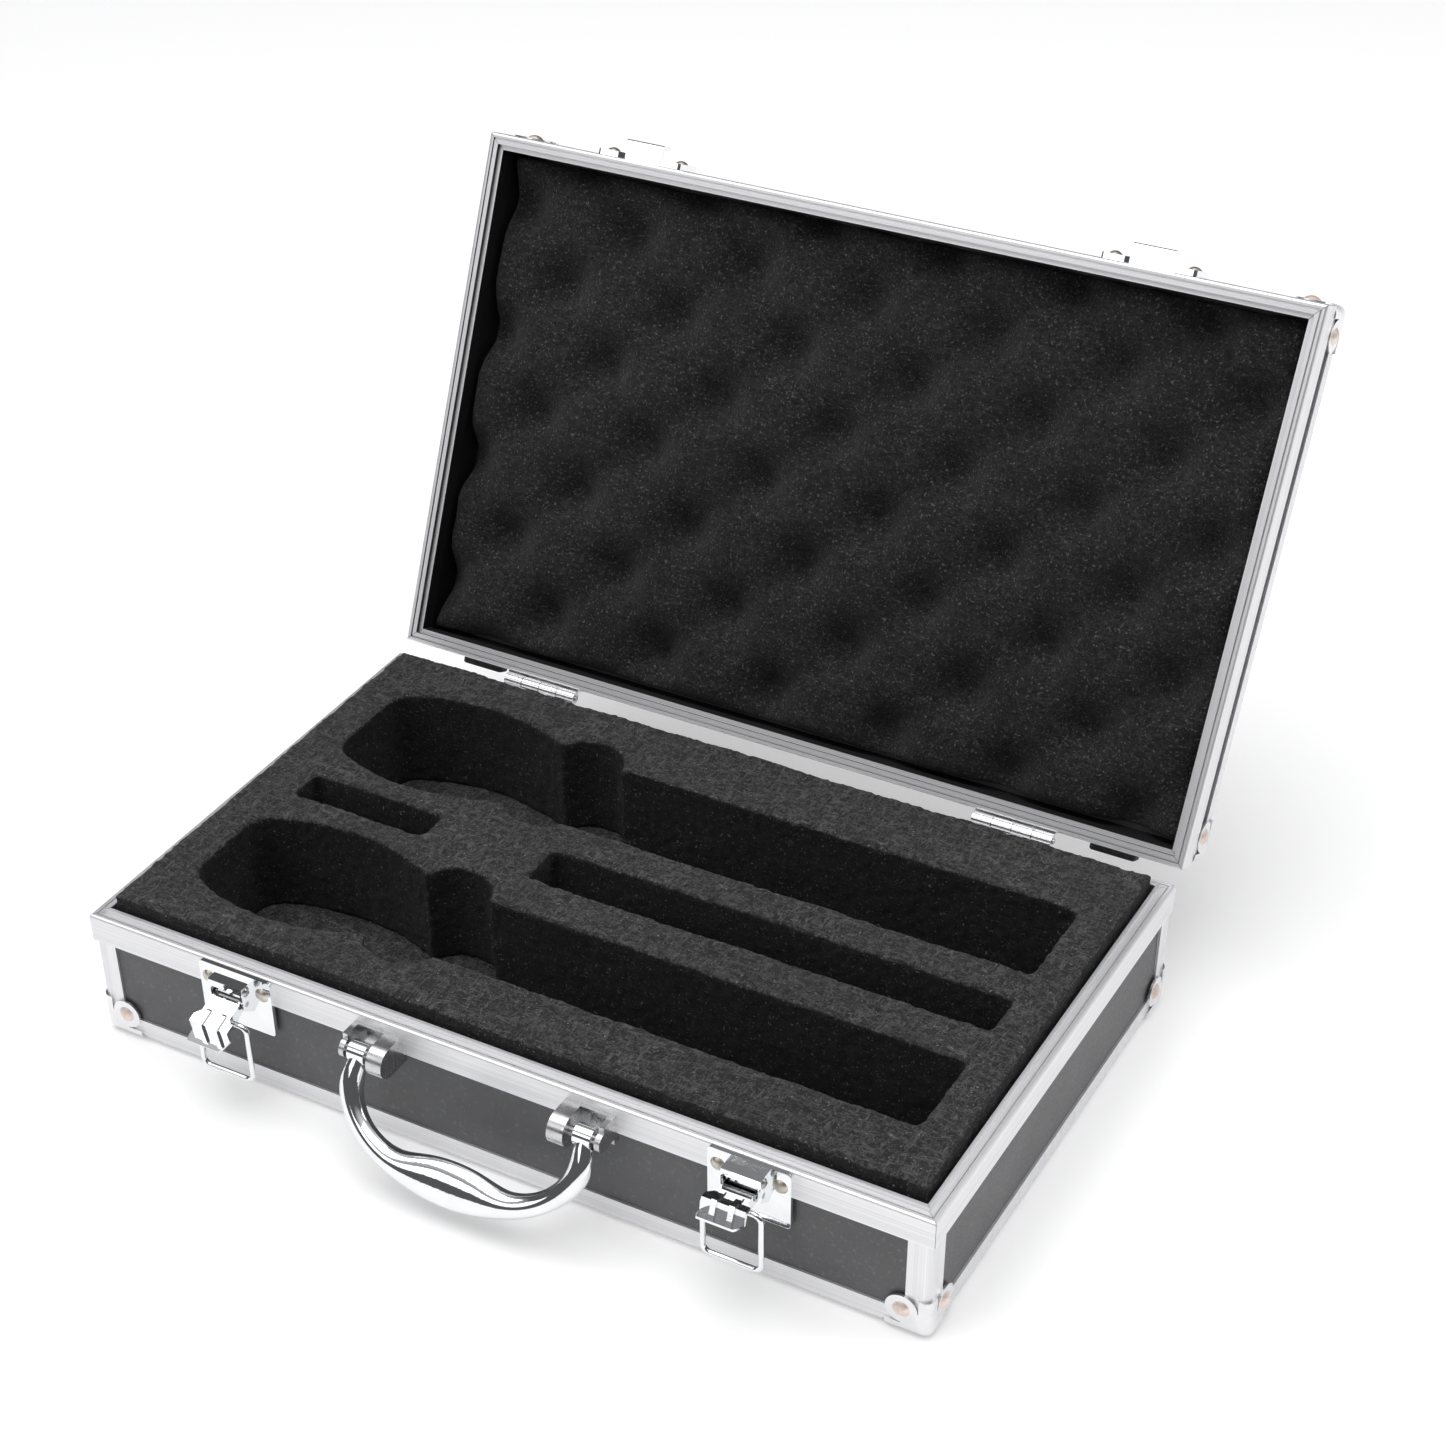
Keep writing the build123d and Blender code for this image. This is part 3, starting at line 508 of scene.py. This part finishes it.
def egg_crate(half_w, v0, v1, step):
    """Closed sheet: the moulded face, soft sides and a flat back."""
    columns, rows = round(2 * half_w / step), round((v1 - v0) / step)
    mesh = bmesh.new()
    face, under = [], []
    for j in range(rows + 1):
        for i in range(columns + 1):
            x, v = -half_w + i * step, v0 + j * step
            edge = min(i, columns - i, j, rows - j) * step
            ease = max(0.0, 1 - edge / EDGE_WIDTH) ** 2
            depth = crate_depth(x, v) + EDGE_DROP * ease
            wobble = WOBBLE * noise.noise(Vector((x, v, WOBBLE_Z)) / WOBBLE_WAVE)
            x += wobble * (i == 0 or i == columns)
            v += wobble * (j == 0 or j == rows)
            face.append(mesh.verts.new(lid_point(x, v, depth)))
            under.append(mesh.verts.new(lid_point(x, v, FOAM_BACK)))
    wide = columns + 1
    for j in range(rows):
        for i in range(columns):
            a = j * wide + i
            mesh.faces.new((face[a], face[a + 1], face[a + wide + 1], face[a + wide]))
            mesh.faces.new((under[a], under[a + wide], under[a + wide + 1], under[a + 1]))
    ring = list(range(wide))
    ring += [j * wide + columns for j in range(1, rows + 1)]
    ring += [rows * wide + i for i in range(columns - 1, -1, -1)]
    ring += [j * wide for j in range(rows - 1, 0, -1)]
    for a, b in zip(ring, ring[1:] + ring[:1]):
        mesh.faces.new((face[b], face[a], under[a], under[b]))
    bmesh.ops.recalc_face_normals(mesh, faces=mesh.faces)
    for item in mesh.faces:
        item.smooth = True
    data = bpy.data.meshes.new("egg_crate")
    mesh.to_mesh(data)
    mesh.free()
    return data


crate_mesh = egg_crate(CRATE_HALF_W, CRATE_V0, CRATE_V1, CRATE_STEP)
lid_foam = new_piece("foam_lid_crate", crate_mesh, "lid", lid_foam_stuff)
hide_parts("lid_foam_pad")

# ---------------------------------------------------------------- floor and light
FLOOR_REACH, FLOOR_DROP = 4.0, 0.0002
FLOOR_TONE, FLOOR_GLOW = 0.85, 0.22

signs = ((-1, -1), (1, -1), (1, 1), (-1, 1))
floor_corners = [(x * FLOOR_REACH, y * FLOOR_REACH, 0) for x, y in signs]
floor_mesh = bpy.data.meshes.new("floor")
floor_mesh.from_pydata(floor_corners, [], [(0, 1, 2, 3)])
floor = bpy.data.objects.new("floor", floor_mesh)
floor.location.z = -FLOOR_DROP
bpy.context.collection.objects.link(floor)
floor_net = Net("floor")
floor_net.set(Base_Color=(FLOOR_TONE, FLOOR_TONE, FLOOR_TONE, 1), Roughness=0.9)
floor_net.set(Emission_Color=(1, 1, 1, 1), Emission_Strength=FLOOR_GLOW)
floor_mesh.materials.append(floor_net.material)


def softbox(name, place, aim, size, power):
    light = bpy.data.lights.new(name, "AREA")
    light.shape, light.size, light.size_y = "RECTANGLE", size[0], size[1]
    light.energy = power
    box = bpy.data.objects.new(name, light)
    box.location = place
    box.rotation_euler = (Vector(aim) - Vector(place)).to_track_quat("-Z", "Y").to_euler()
    bpy.context.collection.objects.link(box)


softbox("overhead", place=(-0.2, -0.25, 1.7), aim=(0, 0, 0.05), size=(1.9, 1.7), power=24)
softbox("front", place=(-0.9, -1.75, 1.2), aim=(0, 0, 0.05), size=(1.5, 0.8), power=6)
softbox("side", place=(1.3, 0.8, 1.0), aim=(0.5, 0.3, 0), size=(0.8, 0.8), power=7)

# A studio round the table, dim at eye level and bright overhead. The camera itself sees a
# plain pale backdrop.
ROOM_STOPS = ((0.62, (0.10, 0.10, 0.105, 1)), (0.90, (0.80, 0.80, 0.82, 1)))
BACKDROP_TONE = (0.96, 0.96, 0.96, 1)

world = bpy.data.worlds.new("studio")
bpy.context.scene.world = world
world.use_nodes = True
tree = world.node_tree
tree.nodes.clear()
where, split, ramp, room, backdrop, seen, either, out = (
    tree.nodes.new("ShaderNode" + kind)
    for kind in (
        "TexCoord", "SeparateXYZ", "ValToRGB", "Background", "Background",
        "LightPath", "MixShader", "OutputWorld",
    )
)
for a, b in (
    (where.outputs["Generated"], split.inputs[0]),
    (split.outputs["Z"], ramp.inputs[0]),
    (ramp.outputs[0], room.inputs[0]),
    (seen.outputs["Is Camera Ray"], either.inputs[0]),
    (room.outputs[0], either.inputs[1]),
    (backdrop.outputs[0], either.inputs[2]),
    (either.outputs[0], out.inputs[0]),
):
    tree.links.new(a, b)
for stop, (position, color) in zip(ramp.color_ramp.elements, ROOM_STOPS):
    stop.position, stop.color = position, color
backdrop.inputs["Color"].default_value = BACKDROP_TONE

bpy.context.scene.view_settings.view_transform = "Standard"
